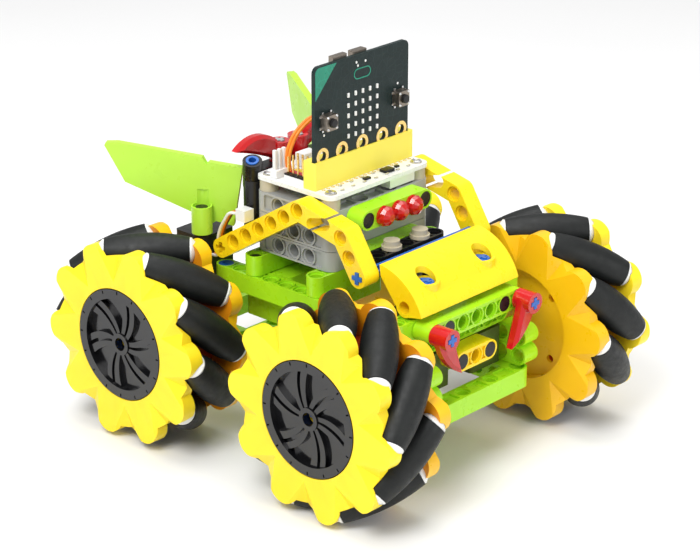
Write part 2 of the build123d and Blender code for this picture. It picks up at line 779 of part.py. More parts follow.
def hood_shell():
    """Curved panel with closed ends, front tubes on both ends and two wells for the pins."""
    inner_top = (HOOD_TOP[0] - 0.4, HOOD_TOP[1] - HOOD_T)
    inner_crest = (HOOD_CREST[0] + 1.5, HOOD_CREST[1] - 1.7)
    inner_lip = (HOOD_LIP[0] + HOOD_T, HOOD_LIP[1] + 0.4)
    with BuildPart() as hood:
        with BuildSketch(Plane.YZ.offset(-HOOD_HALF)):
            with BuildLine():
                ThreePointArc(HOOD_TOP, HOOD_CREST, HOOD_LIP)
                Line(HOOD_LIP, inner_lip)
                ThreePointArc(inner_lip, inner_crest, inner_top)
                Line(inner_top, HOOD_TOP)
            make_face()
        extrude(amount=2 * HOOD_HALF)
        for side in (1, -1):
            with BuildSketch(Plane.YZ.offset(side * HOOD_HALF)):
                with BuildLine():
                    ThreePointArc(HOOD_TOP, HOOD_CREST, HOOD_LIP)
                    Polyline(HOOD_LIP, (-53.0, 66.8), (-49.0, 70.4), (-41.6, 80.0), HOOD_TOP)
                make_face()
            extrude(amount=-side * HOOD_T)
            with BuildSketch(Plane.YZ.offset(side * HOOD_HALF)):
                with Locations(TUBE_AT):
                    Circle(TUBE_R)
            extrude(amount=-side * M)
            with BuildSketch(Plane.YZ.offset(side * HOOD_HALF)):
                with Locations(TUBE_AT):
                    Circle(PIN_R)
            extrude(amount=-side * M, mode=Mode.SUBTRACT)
        well_bottom = DECK_Z - M + 0.2
        with BuildSketch(Plane((0, HOOD_PIN_Y, well_bottom))):
            with Locations((-2 * M, 0), (2 * M, 0)):
                Circle(5.2)
        extrude(amount=HOOD_PIN_Z + 4.6 - well_bottom)
        with BuildSketch(Plane((0, HOOD_PIN_Y, HOOD_PIN_Z + 0.1))):
            with Locations((-2 * M, 0), (2 * M, 0)):
                Circle(3.9)
        extrude(amount=12, mode=Mode.SUBTRACT)
        with BuildSketch(Plane((0, HOOD_PIN_Y, well_bottom))):
            with Locations((-2 * M, 0), (2 * M, 0)):
                Circle(PIN_R)
        extrude(amount=20, mode=Mode.SUBTRACT)
    return hood.part


HOOD = hood_shell()
with BuildPart() as hood:
    add(HOOD)
hood.part.label = "hood"
export_step(hood.part, "parts/hood.step")

# Gear motors: front pair lies down, rear pair stands up
MOTOR_W = 15.0
FRONT_MOTOR_LENGTH = 42.0
FRONT_MOTOR_X = 17.6
REAR_MOTOR_X = 17.6
MOTOR_FLOOR = FLOOR_FRAME_Z + T / 2 + 0.1
REAR_MOTOR_TOP = 76.0
SOCKET_R = SHAFT_R + 0.25
FRONT_MOTOR_END_Y = -AXLE_Y - MOTOR_W / 2
with BuildPart() as gear_motors:
    for s in (1, -1):
        middle_x = FRONT_MOTOR_FACE - FRONT_MOTOR_X / 2
        middle_y = FRONT_MOTOR_END_Y + FRONT_MOTOR_LENGTH / 2
        with BuildSketch(Plane((s * middle_x, middle_y, MOTOR_FLOOR))):
            RectangleRounded(FRONT_MOTOR_X, FRONT_MOTOR_LENGTH, 1.5)
        extrude(amount=MOTOR_W)
        middle_x = REAR_MOTOR_FACE - REAR_MOTOR_X / 2
        with BuildSketch(Plane((s * middle_x, AXLE_Y, MOTOR_FLOOR))):
            RectangleRounded(REAR_MOTOR_X, MOTOR_W, 1.5)
        extrude(amount=REAR_MOTOR_TOP - MOTOR_FLOOR)
        for face_x, y in ((FRONT_MOTOR_FACE, -AXLE_Y), (REAR_MOTOR_FACE, AXLE_Y)):
            with BuildSketch(Plane((s * face_x, y, AXLE_Z), x_dir=(0, 1, 0), z_dir=(1, 0, 0))):
                Circle(SOCKET_R)
            extrude(amount=-s * SOCKET_DEPTH, mode=Mode.SUBTRACT)
gear_motors.part.label = "gear_motors"
export_step(gear_motors.part, "parts/gear_motors.step")

# Battery box between the side beams
BATTERY_FRONT_Y = 6.0
BATTERY_L = 24.0
BATTERY_W = 54.0
BATTERY_BOTTOM = 45.0
with BuildPart() as battery_box:
    with BuildSketch(Plane((0, BATTERY_FRONT_Y + BATTERY_L / 2, BATTERY_BOTTOM))):
        RectangleRounded(BATTERY_W, BATTERY_L, 2.5)
    extrude(amount=DECK_Z - M - 0.4 - BATTERY_BOTTOM)
battery_box.part.label = "battery_box"
export_step(battery_box.part, "parts/battery_box.step")


# Red fangs on the ends of the nose beam
FANG_X = 24.0
FANG_Z = DECK_Z - 1.5 * M
FANG_R = 4.1
FANG_BACK = NOSE_Y - 0.15
FANG_FRONT = FANG_BACK - 8.0
CLAW_T = 5.2


def claw(points, thickness):
    """Pointed claw in the XZ plane from (root inside, middle, tip, middle outside, root outside)."""
    root_in, mid_in, tip, mid_out, root_out = points
    with BuildPart() as horny:
        with BuildSketch(Plane.XZ.offset(-thickness / 2)):
            with BuildLine():
                ThreePointArc(root_in, mid_in, tip)
                ThreePointArc(tip, mid_out, root_out)
                Line(root_out, root_in)
            make_face()
        extrude(amount=thickness)
        front = horny.faces().filter_by(Axis.Y)
        chamfer(front.edges(), 1.3)
    return horny.part


def fang():
    """Fang for the +X side: tube with a cross socket, claw, and a stub that turns in the beam."""
    shape = ((-3.8, 1.5), (-6.6, -8.0), (-9.6, -16.8), (-1.4, -10.8), (3.9, -1.2))
    blade = claw(shape, CLAW_T).moved(Location((FANG_X, FANG_BACK - 3.6, FANG_Z)))
    with BuildPart() as tooth:
        with BuildSketch(facing_front(FANG_X, FANG_BACK, FANG_Z)):
            Circle(FANG_R)
        extrude(amount=FANG_BACK - FANG_FRONT)
        add(blade)
        with BuildSketch(facing_front(FANG_X, FANG_FRONT, FANG_Z)):
            add(CROSS)
        extrude(amount=-1.4, mode=Mode.SUBTRACT)
        with BuildSketch(facing_front(FANG_X, FANG_BACK, FANG_Z)):
            Circle(PIN_FIT_R)
        extrude(amount=-7.0)
    return tooth.part


FANG = fang()
for name, side in (("fang_right", 1), ("fang_left", -1)):
    solids = FANG if side > 0 else mirror(FANG, about=Plane.YZ)
    with BuildPart() as tooth_piece:
        add(solids)
    tooth_piece.part.label = name
    export_step(tooth_piece.part, f"parts/{name}.step")

# Red horns behind the board, each turning on a stub in the rear bar
REAR_BAR_Y = 31.8
REAR_BAR_Z = 98.0
HORN_X = 5.2
HORN_BOTTOM = REAR_BAR_Z + T / 2 + 0.15
HORN_HEIGHT = 8.0
HORN_R = 4.1


def horn():
    """Horn for the +X side: upright tube with a claw that points outwards."""
    base = HORN_BOTTOM
    shape = ((3.0, 1.0), (13.0, 5.4), (24.0, 8.9), (14.0, 12.9), (1.0, 7.9))
    blade = claw(shape, CLAW_T).moved(Location((HORN_X, REAR_BAR_Y + 0.8, base)))
    with BuildPart() as spike:
        with BuildSketch(Plane((HORN_X, REAR_BAR_Y, base))):
            Circle(HORN_R)
        extrude(amount=HORN_HEIGHT)
        add(blade)
        with BuildSketch(Plane((HORN_X, REAR_BAR_Y, base + HORN_HEIGHT))):
            add(CROSS)
        extrude(amount=-2.0, mode=Mode.SUBTRACT)
        with BuildSketch(Plane((HORN_X, REAR_BAR_Y, base))):
            Circle(PIN_FIT_R)
        extrude(amount=-6.5)
    return spike.part


HORN = horn()
for name, side in (("horn_right", 1), ("horn_left", -1)):
    solids = HORN if side > 0 else mirror(HORN, about=Plane.YZ)
    with BuildPart() as horn_piece:
        add(solids)
    horn_piece.part.label = name
    export_step(horn_piece.part, f"parts/{name}.step")

# Green wing panels at the back, each on an upright pin over a rear motor
WING_ROOT = (24.0, 32.3)
WING_TURN = 33.2  # the panel runs back and outwards at this angle to +Y
WING_T = 3.0
WING_TOP = 103.2
WING_PIN_A = 16.5  # pin axis along the panel from its root
WING_PIN_OUT = 2.6
BOSS_R = 4.1
BOSS_BOTTOM = 77.0
BOSS_TOP = 88.0


def wing():
    """Wing panel for the +X side, drawn in its own plane: X along the panel, Y up from the root's top."""
    run = Vector(sin(radians(WING_TURN)), cos(radians(WING_TURN)), 0)
    face_out = Vector(cos(radians(WING_TURN)), -sin(radians(WING_TURN)), 0)
    root = Vector(WING_ROOT[0], WING_ROOT[1], WING_TOP)
    pin = root + run * WING_PIN_A + face_out * WING_PIN_OUT
    with BuildPart() as panel:
        with BuildSketch(Plane(origin=root, x_dir=run, z_dir=face_out)):
            with BuildLine():
                Polyline(
                    (0.8, 0),
                    (14.0, 1.6),
                    (15.0, 0.6),
                    (16.6, 3.4),
                    (50.0, 7.6),
                    (54.5, 7.3),
                    (55.0, 6.2),
                    (47.3, -8.3),
                    (20.0, -19.6),
                    (13.0, -23.4),
                    (11.6, -22.4),
                    (4.5, -24.0),
                    close=True,
                )
            make_face()
        extrude(amount=-WING_T)
        with BuildSketch(Plane((pin.X, pin.Y, BOSS_BOTTOM))):
            Circle(BOSS_R)
        extrude(amount=BOSS_TOP - BOSS_BOTTOM)
        with BuildSketch(Plane((pin.X, pin.Y, BOSS_BOTTOM))):
            Circle(PIN_R)
        extrude(amount=BOSS_TOP - BOSS_BOTTOM, mode=Mode.SUBTRACT)
        with BuildSketch(Plane((pin.X, pin.Y, BOSS_TOP - 1.4))):
            Circle(BORE_R + 0.4)
        extrude(amount=7.0, mode=Mode.SUBTRACT)
    return panel.part, pin


WING, WING_PIN = wing()
WING_PIN_LENGTH = 11.5
RIGHT_WING_LIFT = 4.5
RIGHT_WING_TURN = 3.0  # the right wing sits higher on its pin, turned a little
TO_PIN = Location((WING_PIN.X, WING_PIN.Y, RIGHT_WING_LIFT), (0, 0, RIGHT_WING_TURN))
RIGHT_WING = WING.moved(Location((-WING_PIN.X, -WING_PIN.Y, 0))).moved(TO_PIN)
for name, side in (("wing_right", 1), ("wing_left", -1)):
    solids = RIGHT_WING if side > 0 else mirror(WING, about=Plane.YZ)
    with BuildPart() as wing_piece:
        add(solids)
    wing_piece.part.label = name
    export_step(wing_piece.part, f"parts/{name}.step")

# Friction pins: a collar sits in the counterbore, the ends fill two holes
PIN = stepped((-7.4, PIN_FIT_R), (-LIP + 0.05, BORE_R - 0.1), (LIP - 0.05, PIN_FIT_R), 7.4)
HEAD_PIN = stepped((-7.0, PIN_FIT_R), (-0.05, 2.9), 0.75)
FORWARD = (90, 0, 0)
NOSE_PIN_Y = NOSE_Y + 0.85
LAMP_PIN_Y = LAMP_FACE_Y + 0.85
WING_POST = stepped((0.05, 3.6), (0.8, PIN_FIT_R), WING_PIN_LENGTH)
with BuildPart() as black_pins:
    with Locations(*[Location((x, NOSE_PIN_Y, DECK_Z - 1.5 * M), FORWARD) for x in (-2 * M, 2 * M)]):
        add(HEAD_PIN)
    with Locations(*[Location((x, NOSE_PIN_Y, DECK_Z - 3.5 * M), FORWARD) for x in (-M, M)]):
        add(HEAD_PIN)
    with Locations(*[Location((x, LAMP_PIN_Y, LAMP_Z), FORWARD) for x in (-2 * M, 2 * M)]):
        add(HEAD_PIN)
    with Locations(*[Location((s * 4 * M, y, DECK_Z), (0, 0, 0)) for s in (1, -1) for y in CROSS_Y if y > 0]):
        add(stepped((-15.0, PIN_FIT_R), -1.2))
    with Locations((WING_PIN.X, WING_PIN.Y, REAR_MOTOR_TOP), (-WING_PIN.X, WING_PIN.Y, REAR_MOTOR_TOP)):
        add(WING_POST)
black_pins.part.label = "black_pins"
export_step(black_pins.part, "parts/black_pins.step")

# Black links: the beam before the stack, the rear bar and two angled tube connectors
POST_X = 24.0
POST_Y = 27.6
POST_R = 3.8
POST_BOTTOM = DECK_Z + 2.0
TILT_BASE = (23.0, 28.9, 97.0)
TILT = (0.25, -0.25, 0.935)
TILT_LENGTH = 12.0


def tube_plane(side):
    """Base of the leaning tube on one side."""
    x, y, z = TILT_BASE
    lean_x, lean_y, lean_z = TILT
    return Plane(origin=(side * x, y, z), z_dir=(side * lean_x, lean_y, lean_z))


with BuildPart() as black_links:
    with Locations((0, BLACK_BEAM_Y, BLACK_BEAM_Z)):
        add(BEAM_5)
    with BuildSketch(Plane((0, REAR_BAR_Y, REAR_BAR_Z - T / 2))):
        SlotCenterToCenter(4 * M, T)
        with Locations((-HORN_X, 0), (HORN_X, 0)):
            Circle(PIN_R, mode=Mode.SUBTRACT)
    extrude(amount=T)
    for s in (1, -1):
        with BuildSketch(Plane((s * POST_X, POST_Y, POST_BOTTOM))):
            Circle(POST_R)
        extrude(amount=100.0 - POST_BOTTOM)
        tilt_plane = tube_plane(s)
        with BuildSketch(tilt_plane):
            Circle(POST_R)
        extrude(amount=TILT_LENGTH)
        with BuildSketch(tilt_plane.offset(TILT_LENGTH)):
            Circle(2.6)
        extrude(amount=-5.0, mode=Mode.SUBTRACT)
black_links.part.label = "black_links"
export_step(black_links.part, "parts/black_links.step")

# Blue pins: two hold the hood, two stand in the rear connectors
HOOD_PIN = stepped((DECK_Z - 2 * M - HOOD_PIN_Z + 0.5, PIN_FIT_R), (0.15, 3.4), 1.6)
with BuildPart() as insert:
    Cylinder(2.5, 5.2)
    Cylinder(1.5, 5.2, mode=Mode.SUBTRACT)
    with Locations((0, 0, -2.1)):
        Cylinder(2.5, 1.0)
SIDE_END_PIN = stepped((-T + LIP, PIN_FIT_R), (-LIP, 2.9), -0.2)
SIDE_END_Y = STACK_Y + 4 * M
with BuildPart() as blue_pins:
    with Locations((-2 * M, HOOD_PIN_Y, HOOD_PIN_Z), (2 * M, HOOD_PIN_Y, HOOD_PIN_Z)):
        add(HOOD_PIN)
    with Locations((-SIDE_X, SIDE_END_Y, DECK_Z - M), (SIDE_X, SIDE_END_Y, DECK_Z - M)):
        add(SIDE_END_PIN)
    for s in (1, -1):
        tilt_plane = tube_plane(s)
        with Locations(tilt_plane.offset(TILT_LENGTH - 2.2)):
            add(insert.part)
blue_pins.part.label = "blue_pins"
export_step(blue_pins.part, "parts/blue_pins.step")

# Leads: three from each rear motor to a plug on the stack, and a pair behind the board
LEAD_R = 0.6


def lead(points, radii, radius):
    """Round lead along straight runs joined by arcs."""
    with BuildPart() as wire:
        with BuildLine() as route:
            FilletPolyline(*points, radius=radii)
        with BuildSketch(Plane(origin=route.line @ 0, z_dir=route.line % 0)):
            Circle(radius)
        sweep()
    return wire.part, sum(edge.length for edge in route.edges())


def run_radii(points):
    """Largest arc that each corner's shorter run allows."""
    radii = []
    for before, corner, after in zip(points, points[1:], points[2:]):
        into = Vector(*corner) - Vector(*before)
        out = Vector(*after) - Vector(*corner)
        half_turn = radians(into.get_angle(out)) / 2
        radii.append(0.45 * min(into.length, out.length) / tan(half_turn))
    return radii


MOTOR_ROUTE = (
    (31.2, 28.1, 88.0),
    (31.2, 32.6, 87.4),
    (31.4, 38.6, 78.0),
    (31.2, 39.2, 67.6),
    (31.2, 42.05, 67.6),
)
BOARD_ROUTE = (
    (-19.6, 12.4, 104.4),
    (-20.8, 12.6, 112.0),
    (-17.6, 11.4, 120.4),
    (-10.2, 9.6, 125.8),
    (-1.6, 8.4, 124.6),
    (4.2, 7.6, 117.6),
    (5.4, 7.2, 109.0),
)
lead_solids = []
for s in (1, -1):
    for step in (-1, 0, 1):
        shift = 1.3 * step
        points = [(s * (x + shift), y, z) for x, y, z in MOTOR_ROUTE]
        lead_solids.append((points, LEAD_R))
for step in (-1, 1):
    points = [(x, y + 0.75 * step, z) for x, y, z in BOARD_ROUTE]
    lead_solids.append((points, 0.65))
wires = []
for points, radius in lead_solids:
    radii = run_radii(points)
    wire, length = lead(points, radii, radius)
    wires.append(wire)
    filled = wire.volume / (pi * radius**2 * length)
    print("lead", [round(r, 1) for r in radii], round(filled, 4), round(length, 1))
with BuildPart() as leads:
    for wire in wires:
        add(wire)
leads.part.label = "leads"
export_step(leads.part, "parts/leads.step")
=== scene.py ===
import math
import random

import bmesh
import bpy
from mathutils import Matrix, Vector


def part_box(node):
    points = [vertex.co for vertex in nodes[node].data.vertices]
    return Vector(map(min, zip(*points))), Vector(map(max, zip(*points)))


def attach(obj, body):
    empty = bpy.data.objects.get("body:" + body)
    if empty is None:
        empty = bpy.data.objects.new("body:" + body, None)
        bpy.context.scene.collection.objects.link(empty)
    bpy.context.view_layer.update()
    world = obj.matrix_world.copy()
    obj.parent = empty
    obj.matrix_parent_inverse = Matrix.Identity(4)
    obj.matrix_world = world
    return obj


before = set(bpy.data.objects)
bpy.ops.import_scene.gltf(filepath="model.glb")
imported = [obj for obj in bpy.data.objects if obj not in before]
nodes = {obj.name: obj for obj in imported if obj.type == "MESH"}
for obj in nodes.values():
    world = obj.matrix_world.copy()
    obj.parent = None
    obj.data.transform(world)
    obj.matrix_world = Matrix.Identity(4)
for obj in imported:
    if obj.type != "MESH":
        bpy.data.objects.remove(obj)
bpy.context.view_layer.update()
MM = 0.001
CORNERS = ("front_right", "front_left", "rear_right", "rear_left")


# ---------------------------------------------------------------- materials
class Shader:
    """A Principled material with short names for the nodes it needs."""

    def __init__(self, name):
        self.mat = bpy.data.materials.new(name)
        self.mat.use_nodes = True
        self.tree = self.mat.node_tree
        self.bsdf = self.tree.nodes["Principled BSDF"]
        self.coord = self.tree.nodes.new("ShaderNodeTexCoord").outputs["Object"]

    def put(self, **values):
        for key, value in values.items():
            self.bsdf.inputs[key.replace("_", " ")].default_value = value
        return self

    def node(self, kind, inputs=None, **props):
        made = self.tree.nodes.new("ShaderNode" + kind)
        for key, value in props.items():
            setattr(made, key, value)
        for key, value in (inputs or {}).items():
            if isinstance(value, bpy.types.NodeSocket):
                self.tree.links.new(value, made.inputs[key])
            else:
                made.inputs[key].default_value = value
        return made

    def noise(self, scale, detail=3.0, rough=0.5):
        settings = {"Vector": self.coord, "Scale": scale, "Detail": detail, "Roughness": rough}
        return self.node("TexNoise", settings).outputs["Fac"]

    def ramp(self, source, *stops):
        made = self.node("ValToRGB", {"Fac": source})
        ramp = made.color_ramp
        while len(ramp.elements) < len(stops):
            ramp.elements.new(0.5)
        for element, (place, colour) in zip(ramp.elements, stops):
            element.position = place
            element.color = (*colour, 1)
        return made.outputs["Color"]

    def level(self, source, low, high, out_low, out_high):
        made = self.node(
            "MapRange",
            {"Value": source, "From Min": low, "From Max": high, "To Min": out_low, "To Max": out_high},
        )
        return made.outputs["Result"]

    def math(self, operation, a, b=0.0):
        return self.node("Math", {0: a, 1: b}, operation=operation).outputs[0]

    def mix(self, fac, a, b):
        made = self.node("Mix", data_type="RGBA")
        for key, value in ((0, fac), (6, a), (7, b)):
            if isinstance(value, bpy.types.NodeSocket):
                self.tree.links.new(value, made.inputs[key])
            else:
                made.inputs[key].default_value = value if key == 0 else (*value[:3], 1)
        return made.outputs[2]

    def split(self):
        made = self.node("SeparateXYZ", {"Vector": self.coord})
        return made.outputs["X"], made.outputs["Y"], made.outputs["Z"]

    def link(self, source, key):
        self.tree.links.new(source, self.bsdf.inputs[key])
        return self

    def bump(self, height, strength=0.2, distance=0.0002):
        made = self.node("Bump", {"Height": height, "Strength": strength, "Distance": distance})
        return self.link(made.outputs["Normal"], "Normal")


def shade(colour, factor):
    return tuple(min(1.0, c * factor) for c in colour[:3])


def plastic(name, colour, rough=0.32, spread=0.07, grain=0.12, edge_highlight=0.0, coat=0.0, shine=0.5):
    """Moulded plastic: faint flow mottling, fine grain, uneven gloss and a painted highlight that makes
    sharp edges paler.
    """
    s = Shader(name)
    flow = s.noise(38, 4, 0.6)
    base = s.ramp(flow, (0.25, shade(colour, 1 - spread)), (0.75, shade(colour, 1 + spread)))
    if edge_highlight:
        # painted highlight: the base colour is made paler on sharp edges
        edge = s.node("NewGeometry").outputs["Pointiness"]
        painted_edge_highlight = s.level(edge, 0.53, 0.62, 0.0, edge_highlight)
        base = s.mix(painted_edge_highlight, base, shade(colour, 1.35))
    s.link(base, "Base Color")
    s.link(s.level(s.noise(240, 3), 0.3, 0.7, rough - 0.06, rough + 0.08), "Roughness")
    s.bump(s.noise(1500, 4, 0.65), grain, 0.00012)
    s.put(Specular_IOR_Level=shine, Coat_Weight=coat, Coat_Roughness=0.12)
    return s


YELLOW = plastic("yellow_plastic", (0.95, 0.66, 0.008), 0.3, 0.05, edge_highlight=0.25).mat
LEMON = plastic("lemon_plastic", (0.97, 0.69, 0.018), 0.34, 0.04, edge_highlight=0.25, shine=0.35).mat
PALE_YELLOW = plastic("pale_yellow_plastic", (0.9, 0.78, 0.09), 0.42, 0.03).mat
LIME = plastic("lime_plastic", (0.36, 0.72, 0.012), 0.3, 0.06, edge_highlight=0.25).mat
WING = plastic("wing_plastic", (0.45, 0.78, 0.05), 0.32, 0.04).mat
GREY = plastic("grey_plastic", (0.36, 0.37, 0.37), 0.34, 0.05, edge_highlight=0.2).mat
BLACK = plastic("black_plastic", (0.008, 0.008, 0.009), 0.28, 0.2, edge_highlight=0.3, shine=0.35).mat
BLACK_GLOSS = plastic("black_gloss", (0.005, 0.005, 0.006), 0.14, 0.2, 0.04, coat=0.35, shine=0.4).mat
WHITE = plastic("white_plastic", (0.82, 0.82, 0.8), 0.36, 0.03).mat
BEIGE = plastic("beige_plastic", (0.5, 0.45, 0.33), 0.4, 0.06).mat
BLUE = plastic("blue_plastic", (0.015, 0.12, 0.47), 0.3, 0.08, edge_highlight=0.2).mat
RED = plastic("red_plastic", (0.5, 0.006, 0.008), 0.16, 0.12, 0.05, edge_highlight=0.3, coat=0.4).put(
    Subsurface_Weight=0.15, Subsurface_Radius=(0.004, 0.0005, 0.0005)).mat


def two_tone_hub():
    """Amber inner plate, orange-red drum beyond it."""
    s = Shader("amber_and_orange")
    x = s.split()[0]
    out = s.math("ABSOLUTE", x)
    drum = s.level(out, 0.04955, 0.04965, 0.0, 1.0)
    flow = s.noise(38, 4, 0.6)
    amber = s.ramp(flow, (0.25, (0.86, 0.46, 0.003)), (0.75, (0.95, 0.55, 0.008)))
    orange = s.ramp(flow, (0.25, (0.62, 0.05, 0.006)), (0.75, (0.75, 0.085, 0.01)))
    s.link(s.mix(drum, amber, orange), "Base Color")
    s.link(s.level(s.noise(240), 0.3, 0.7, 0.26, 0.42), "Roughness")
    return s.bump(s.noise(1500, 4), 0.12, 0.00012).mat


def rubber():
    """Matte rubber with fine grain and patches of dust."""
    s = Shader("black_rubber")
    dust = s.noise(120, 5, 0.7)
    s.link(s.ramp(dust, (0.35, (0.004, 0.005, 0.005)), (0.8, (0.011, 0.013, 0.012))), "Base Color")
    s.link(s.level(s.noise(420, 4), 0.3, 0.7, 0.42, 0.6), "Roughness")
    fine = s.math("ADD", s.noise(2600, 4, 0.7), s.math("MULTIPLY", s.noise(300, 2), 0.6))
    s.put(Specular_IOR_Level=0.35)
    return s.bump(fine, 0.35, 0.00015).mat


def motors():
    """Front pair painted dark olive, the colour of lime in shade; black rear pair."""
    s = Shader("dark_plastic")
    y = s.split()[1]
    rear = s.level(y, 0.0, 0.001, 0.0, 1.0)
    flow = s.noise(40, 4, 0.6)
    # painted shade: the front pair gets the dark olive of a lime surface in shadow
    painted_shade_olive = s.ramp(flow, (0.3, (0.06, 0.085, 0.012)), (0.7, (0.09, 0.12, 0.02)))
    black = s.ramp(flow, (0.3, (0.01, 0.01, 0.011)), (0.7, (0.02, 0.02, 0.021)))
    s.link(s.mix(rear, painted_shade_olive, black), "Base Color")
    s.link(s.level(s.noise(300), 0.3, 0.7, 0.36, 0.5), "Roughness")
    return s.bump(s.noise(900, 5, 0.7), 0.4, 0.0002).mat


def lead_colours():
    """Three lead colours side by side, told apart by where each lead runs."""
    s = Shader("lead_sheath")
    x = s.math("ABSOLUTE", s.split()[0])
    flow = s.noise(160, 3)
    brown = s.ramp(flow, (0.3, (0.12, 0.035, 0.012)), (0.7, (0.17, 0.055, 0.02)))
    orange = s.ramp(flow, (0.3, (0.78, 0.2, 0.012)), (0.7, (0.9, 0.28, 0.02)))
    white = s.ramp(flow, (0.3, (0.72, 0.7, 0.65)), (0.7, (0.84, 0.83, 0.8)))
    outer = s.mix(s.level(x, 0.0318, 0.03182, 0.0, 1.0), orange, white)
    inner = s.mix(s.level(x, 0.03052, 0.03054, 0.0, 1.0), brown, outer)
    s.link(s.mix(s.level(x, 0.025, 0.0251, 0.0, 1.0), orange, inner), "Base Color")
    s.link(s.level(s.noise(500), 0.3, 0.7, 0.35, 0.5), "Roughness")
    return s.bump(s.noise(1800, 3), 0.2, 0.0001).mat


def board(name, low, high, trace, rough=0.3, shine=0.5):
    """Faintly mottled solder mask over buried traces."""
    s = Shader(name)
    cells = s.node("TexVoronoi", {"Vector": s.coord, "Scale": 300.0}, feature="DISTANCE_TO_EDGE")
    lines = s.level(cells.outputs["Distance"], 0.03, 0.06, 1.0, 0.0)
    flow = s.noise(60, 3)
    mask = s.ramp(flow, (0.3, low), (0.7, high))
    s.link(s.mix(s.math("MULTIPLY", lines, 0.35), mask, trace), "Base Color")
    s.link(s.level(s.noise(500), 0.3, 0.7, rough - 0.05, rough + 0.1), "Roughness")
    s.put(Specular_IOR_Level=shine)
    return s.bump(lines, 0.3, 0.00006).mat


WHITE_BOARD = board("white_board", (0.74, 0.76, 0.75), (0.82, 0.83, 0.82), (0.6, 0.63, 0.61))
DARK_BOARD = board(
    "dark_board",
    (0.008, 0.018, 0.018),
    (0.011, 0.023, 0.023),
    (0.015, 0.033, 0.031),
    rough=0.36,
    shine=0.25,
)


def metal(name, colour, rough, scale=900):
    s = Shader(name)
    s.put(Metallic=1.0)
    flow = s.noise(scale, 3)
    s.link(s.ramp(flow, (0.3, shade(colour, 0.85)), (0.7, shade(colour, 1.05))), "Base Color")
    s.link(s.level(flow, 0.3, 0.7, rough - 0.06, rough + 0.1), "Roughness")
    return s.bump(s.noise(scale * 2, 2), 0.1, 0.00005).mat


NICKEL = metal("button_case_nickel", (0.3, 0.26, 0.22), 0.38)
STEEL = metal("bright_steel", (0.72, 0.72, 0.73), 0.25)
GOLD = metal("gold_plate", (0.95, 0.68, 0.25), 0.22)
TEAL = board("corner_patch", (0.004, 0.2, 0.125), (0.006, 0.26, 0.16), (0.01, 0.34, 0.22))


def lamp():
    """Glossy translucent red."""
    s = Shader("red_clear_plastic")
    flow = s.noise(500, 2)
    s.link(s.ramp(flow, (0.3, (0.62, 0.005, 0.006)), (0.7, (0.8, 0.02, 0.015))), "Base Color")
    s.link(s.level(s.noise(400), 0.3, 0.7, 0.06, 0.14), "Roughness")
    s.put(Transmission_Weight=0.35, IOR=1.5, Coat_Weight=0.4, Coat_Roughness=0.05)
    return s.bump(s.noise(800, 2), 0.08, 0.00005).mat


LAMP = lamp()
HUB = two_tone_hub()
RUBBER = rubber()
MOTOR = motors()
LEADS = lead_colours()

LOOK_NODES = (
    (GREY, "stack_frames"),
    (LIME, "floor_frames cross_beams side_beams nose_beams corner_rails stack_front_beams battery_box"),
    (YELLOW, "teeth_beam bent_arms hood"),
    (LAMP, "front_lamps"),
    (BLACK, "black_links button_a button_b black_pins"),
    (BEIGE, "bushes"),
    (WHITE_BOARD, "expansion_board"),
    (PALE_YELLOW, "edge_connector"),
    (DARK_BOARD, "controller_board"),
    (NICKEL, "card_fittings"),
    (WHITE, "header_blocks"),
    (BLUE, "arm_axle blue_pins"),
    (MOTOR, "gear_motors"),
    (RED, "fang_left fang_right horn_left horn_right"),
    (WING, "wing_left wing_right"),
    (LEADS, "leads"),
)
LOOKS = {name: look for look, names in LOOK_NODES for name in names.split()}
for corner in CORNERS:
    LOOKS[f"wheel_{corner}_plate"] = LEMON
    LOOKS[f"wheel_{corner}_hub"] = HUB
    LOOKS[f"wheel_{corner}_rim"] = BLACK_GLOSS
    LOOKS[f"wheel_{corner}_rollers"] = RUBBER
    LOOKS[f"wheel_{corner}_floor_roller"] = RUBBER
    LOOKS[f"wheel_{corner}_roller_axles"] = WHITE
    LOOKS[f"wheel_{corner}_axle"] = BLUE
for name, look in LOOKS.items():
    for slot in nodes[name].material_slots:
        slot.material = look


# ---------------------------------------------------------------- small pieces, drawn in millimetres
ROUND_STEPS = 32
SIDES = (("right", 1), ("left", -1))
TO_FRONT = (Vector((1, 0, 0)), Vector((0, 0, 1)))
TO_BACK = (Vector((-1, 0, 0)), Vector((0, 0, 1)))
TO_TOP = (Vector((1, 0, 0)), Vector((0, 1, 0)))


